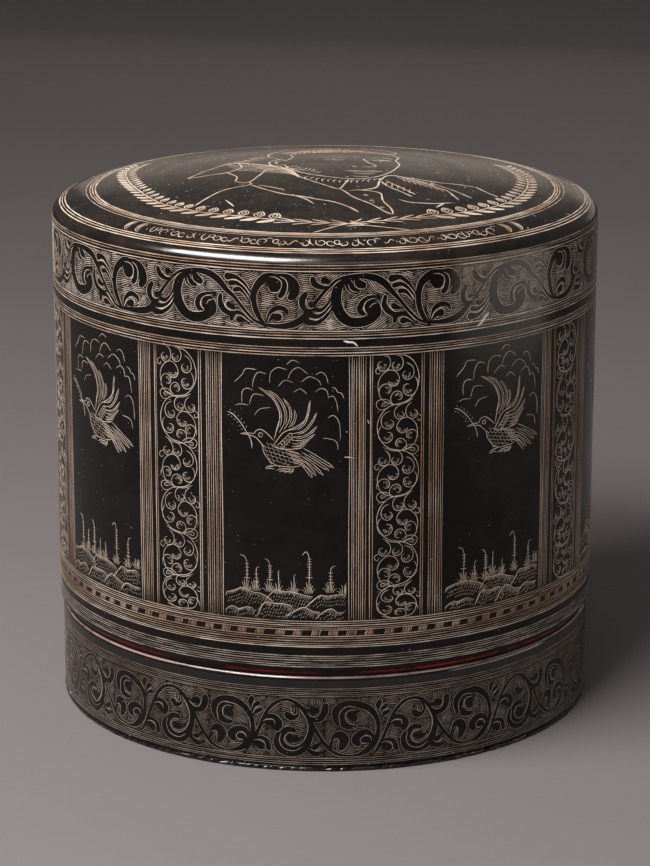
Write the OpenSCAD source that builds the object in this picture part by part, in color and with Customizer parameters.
// Round lidded betel box of black lacquer over a bamboo core.
// A short base carries a tall inner sleeve. A deep cover slides down over the sleeve and two
// shallow trays stand one on the other inside its mouth, above the well for the leaves.
// Millimetres, +Z up, the foot stands on z = 0 and the box turns about the Z axis.

/* [Cover] */
// Outside radius of the cover
cover_r = 100; // [85:0.5:120]
// Thickness of the cover wall and top
cover_wall_t = 3; // [2:0.1:4]
// Room between the upper tray's rim and the level where the shoulder starts to turn in
head_room = 10.6; // [6:0.1:40]
// Radius of the domed top
dome_r = 550; // [350:5:900]
// Width of the rounded shoulder hoop, measured in from the wall
shoulder_w = 13; // [10:0.5:18]
// Radius of the shoulder's slow turn
shoulder_r = 30; // [26:0.5:40]
// Radius of the tight turn into the wall
edge_r = 5; // [4:0.1:7]
// Height of the hoop that stiffens the lower edge of the cover
cover_rim_h = 6.3; // [4:0.1:12]
// Rounding of the lower outer edge of the cover
cover_rim_round = 0.6; // [0.3:0.1:1.2]

/* [Base] */
// Thickness of the decorated band round the base
band_t = 2.6; // [1.6:0.1:3]
// Height of the foot hoop
foot_h = 1.9; // [1.6:0.1:4]
// How far the foot hoop reaches in past the sleeve
foot_lap = 1.7; // [0.5:0.1:8]
// Rounding of the outside of the foot hoop
foot_round = 0.8; // [0.3:0.1:0.8]
// Height of the decorated band
band_h = 29.4; // [20:0.1:45]
// Height of the bead that finishes the band
bead_h = 4.3; // [3:0.1:8]
// Rounding of the bead
bead_round = 1.5; // [0.6:0.1:1.5]
// Height of the red seat hoop that the cover stands on
seat_h = 2.1; // [1:0.1:4]
// How far the seat hoop reaches under the wall of the cover
seat_lap = 1; // [0.6:0.1:1.6]
// Height of the domed floor above the table, at its edge
floor_lift = 4.6; // [3:0.1:8]
// Thickness of the floor
floor_t = 3.4; // [2:0.1:6]
// Rise of the floor at its centre
floor_rise = 2.4; // [1:0.1:5]

/* [Sleeve] */
// Thickness of the sleeve wall
sleeve_t = 2.5; // [1.5:0.1:3.5]
// Height of the sleeve wall, from the foot hoop to the mouth hoop
sleeve_h = 161.1; // [120:0.1:220]
// Height of the mouth hoop
mouth_h = 4; // [2.5:0.1:8]
// Rounding of the mouth hoop
mouth_round = 0.9; // [0.3:0.1:0.9]
// Radial play between the sleeve and the cover
cover_play = 0.5; // [0.3:0.05:1]
// Width of the ledge inside the sleeve
ledge_w = 5; // [3:0.1:8]
// Thickness of the ledge where it leaves the wall
ledge_h = 5; // [3:0.1:9]
// Thickness of the ledge at its lip
ledge_lip = 2; // [1:0.1:2.9]

/* [Trays] */
// Height of each tray
tray_h = 33; // [24:0.5:50]
// How far the upper tray stands out of the mouth, for the fingers
tray_proud = 4; // [1:0.1:10]
// Thickness of the tray wall
tray_wall_t = 2; // [1.4:0.1:3]
// Thickness of the tray floor
tray_floor_t = 2.4; // [1.5:0.1:4]
// Height of the tray's foot hoop
tray_foot_h = 3; // [1.5:0.1:5]
// Width of the tray's foot hoop
tray_foot_w = 5; // [3.5:0.1:8]
// Rounding of the tray's foot hoop
tray_foot_round = 0.5; // [0.3:0.1:0.8]
// Height of the tray's rim hoop
tray_rim_h = 4; // [2.5:0.1:7]
// Width of the tray's rim hoop
tray_rim_w = 2.8; // [2.2:0.1:4]
// Rounding of the tray's rim hoop
tray_rim_round = 0.7; // [0.3:0.1:0.9]
// Radial play between a tray and the sleeve
tray_play = 0.6; // [0.3:0.05:1.2]

/* [Hidden] */
$fn = 96;
fine_fn = 2400;
black = [0.03, 0.026, 0.026];
umber = [0.10, 0.06, 0.04];
red = [0.42, 0.05, 0.03];

// Radii that seat one piece in the next
cover_in_r = cover_r - cover_wall_t;
sleeve_r = cover_in_r - cover_play;
sleeve_in_r = sleeve_r - sleeve_t;
seat_r = cover_in_r + seat_lap;
tray_r = sleeve_in_r - tray_play;
tray_in_r = tray_r - tray_wall_t;
band_r = sleeve_r + band_t;
foot_in_r = sleeve_in_r - foot_lap;

// Heights, from the table up
band_z = foot_h;
bead_z = band_z + band_h;
seat_z = bead_z + bead_h;
cover_z = seat_z + seat_h;
mouth_z = foot_h + sleeve_h;
upper_tray_z = mouth_z + mouth_h + tray_proud - tray_h;
lower_tray_z = upper_tray_z - tray_h;
ledge_z = lower_tray_z;
cover_top_z = upper_tray_z + tray_h + head_room;
cover_wall_z = cover_z + cover_rim_h;

// Arc centres of the cover's profile: dome, slow turn, tight turn, each tangent to the next
dome_edge_r = cover_r - shoulder_w;
turn_x = dome_edge_r * (dome_r - shoulder_r) / dome_r;
edge_x = cover_r - edge_r;
turn_z = cover_top_z - sqrt(pow(shoulder_r - edge_r, 2) - pow(edge_x - turn_x, 2));
dome_z = turn_z - sqrt(pow(dome_r - shoulder_r, 2) - pow(turn_x, 2));
meet_x = turn_x + (edge_x - turn_x) * shoulder_r / (shoulder_r - edge_r);

// Radius of the sphere that gives the floor its rise
floor_r = (pow(sleeve_in_r, 2) + pow(floor_rise, 2)) / (2 * floor_rise);

// A plain upright ring between two radii
module ring(r_in, r_out, z, h) {
  translate([0, 0, z])
    rotate_extrude()
      translate([r_in, 0])
        square([r_out - r_in, h]);
}

// Section of a hoop whose chosen corners are rounded: in_top, out_top, in_low, out_low
module hoop_section(w, h, r, corners) {
  difference() {
    square([w, h]);
    for (i = [0 : 3])
      if (corners[i]) {
        x = i % 2 == 0 ? 0 : w;
        y = i < 2 ? h : 0;
        sx = i % 2 == 0 ? 1 : -1;
        sy = i < 2 ? -1 : 1;
        difference() {
          translate([x - (sx < 0 ? r : 0), y - (sy < 0 ? r : 0)])
            square([r, r]);
          translate([x + sx * r, y + sy * r])
            circle(r = r);
        }
      }
  }
}

module hoop(r_in, r_out, z, h, r, corners) {
  translate([0, 0, z])
    rotate_extrude()
      translate([r_in, 0])
        hoop_section(r_out - r_in, h, r, corners);
}

// Area inside the cover's profile, drawn in by t, from the dome's edge out to the wall
module shoulder_area(t) {
  intersection() {
    translate([turn_x, turn_z])
      circle(r = shoulder_r - t);
    translate([dome_edge_r, cover_top_z])
      square([meet_x - dome_edge_r, shoulder_r]);
  }
  intersection() {
    translate([edge_x, cover_top_z])
      circle(r = edge_r - t);
    translate([meet_x, cover_top_z])
      square([edge_r, edge_r]);
  }
}

// Foot: a rounded hoop under the sleeve and the band, flat where it stands
module foot_hoop() {
  color(black)
    hoop(foot_in_r, band_r, 0, foot_h, foot_round, [false, true, false, true]);
}

// Floor: a thin disc, arched up a little so that the box stands on its foot alone
module base_floor() {
  color(red)
    translate([0, 0, floor_lift])
      rotate_extrude()
        difference() {
          intersection() {
            translate([0, floor_t + floor_rise - floor_r])
              circle(r = floor_r, $fn = fine_fn);
            square([sleeve_in_r, floor_t + 2 * floor_rise]);
          }
          translate([0, floor_rise - floor_r])
            circle(r = floor_r, $fn = fine_fn);
        }
}

// Band: the short outer wall that carries the scrolls
module base_band() {
  color(umber)
    ring(sleeve_r, band_r, band_z, band_h);
}

// Bead: rounded over at the top, polished
module base_bead() {
  color(black)
    hoop(sleeve_r, band_r, bead_z, bead_h, bead_round, [false, true, false, false]);
}

// Seat: the narrow red hoop on which the cover comes to rest
module seat_hoop() {
  color(red)
    ring(sleeve_r, seat_r, seat_z, seat_h);
}

// Sleeve: the tall inner wall that the cover slides over
module base_sleeve() {
  color(red)
    ring(sleeve_in_r, sleeve_r, foot_h, sleeve_h);
}

// Ledge: tapers from the wall to a thinner lip, flat on top for the trays
module tray_ledge() {
  color(red)
    translate([0, 0, ledge_z])
      rotate_extrude()
        polygon([
          [sleeve_in_r, 0],
          [sleeve_in_r, -ledge_h],
          [sleeve_in_r - ledge_w, -ledge_lip],
          [sleeve_in_r - ledge_w, 0]
        ]);
}

// Mouth: the hoop that finishes the sleeve, rounded to start the cover easily
module mouth_hoop() {
  color(red)
    hoop(sleeve_in_r, sleeve_r, mouth_z, mouth_h, mouth_round, [true, true, false, false]);
}

// Lower hoop of the cover
module cover_rim() {
  color(black)
    hoop(cover_in_r, cover_r, cover_z, cover_rim_h, cover_rim_round, [false, false, false, true]);
}

// Straight wall of the cover
module cover_wall() {
  color(umber)
    ring(cover_in_r, cover_r, cover_wall_z, cover_top_z - cover_wall_z);
}

// Shoulder: a hollow hoop that turns from the wall to the edge of the dome
module cover_shoulder() {
  color(black)
    rotate_extrude()
      difference() {
        shoulder_area(0);
        shoulder_area(cover_wall_t);
      }
}

// Top: a thin spherical disc set inside the shoulder
module cover_top() {
  color(umber)
    rotate_extrude()
      intersection() {
        difference() {
          translate([0, dome_z])
            circle(r = dome_r, $fn = fine_fn);
          translate([0, dome_z])
            circle(r = dome_r - cover_wall_t, $fn = fine_fn);
        }
        translate([0, cover_top_z])
          square([dome_edge_r, dome_r]);
      }
}

// Tray pieces, stood at height z
module tray_foot(z) {
  hoop(tray_r - tray_foot_w, tray_r, z, tray_foot_h, tray_foot_round, [false, false, true, true]);
}

module tray_floor(z) {
  translate([0, 0, z + tray_foot_h])
    cylinder(r = tray_in_r, h = tray_floor_t);
}

module tray_wall(z) {
  ring(tray_in_r, tray_r, z + tray_foot_h, tray_h - tray_foot_h - tray_rim_h);
}

module tray_rim(z) {
  hoop(tray_r - tray_rim_w, tray_r, z + tray_h - tray_rim_h, tray_rim_h, tray_rim_round,
       [true, true, true, false]);
}

module lower_tray_foot() {
  color(black)
    tray_foot(lower_tray_z);
}

module lower_tray_floor() {
  color(red)
    tray_floor(lower_tray_z);
}

module lower_tray_wall() {
  color(red)
    tray_wall(lower_tray_z);
}

module lower_tray_rim() {
  color(black)
    tray_rim(lower_tray_z);
}

module upper_tray_foot() {
  color(black)
    tray_foot(upper_tray_z);
}

module upper_tray_floor() {
  color(red)
    tray_floor(upper_tray_z);
}

module upper_tray_wall() {
  color(red)
    tray_wall(upper_tray_z);
}

module upper_tray_rim() {
  color(black)
    tray_rim(upper_tray_z);
}

foot_hoop();
base_floor();
base_band();
base_bead();
seat_hoop();
base_sleeve();
tray_ledge();
mouth_hoop();
cover_rim();
cover_wall();
cover_shoulder();
cover_top();
lower_tray_foot();
lower_tray_floor();
lower_tray_wall();
lower_tray_rim();
upper_tray_foot();
upper_tray_floor();
upper_tray_wall();
upper_tray_rim();
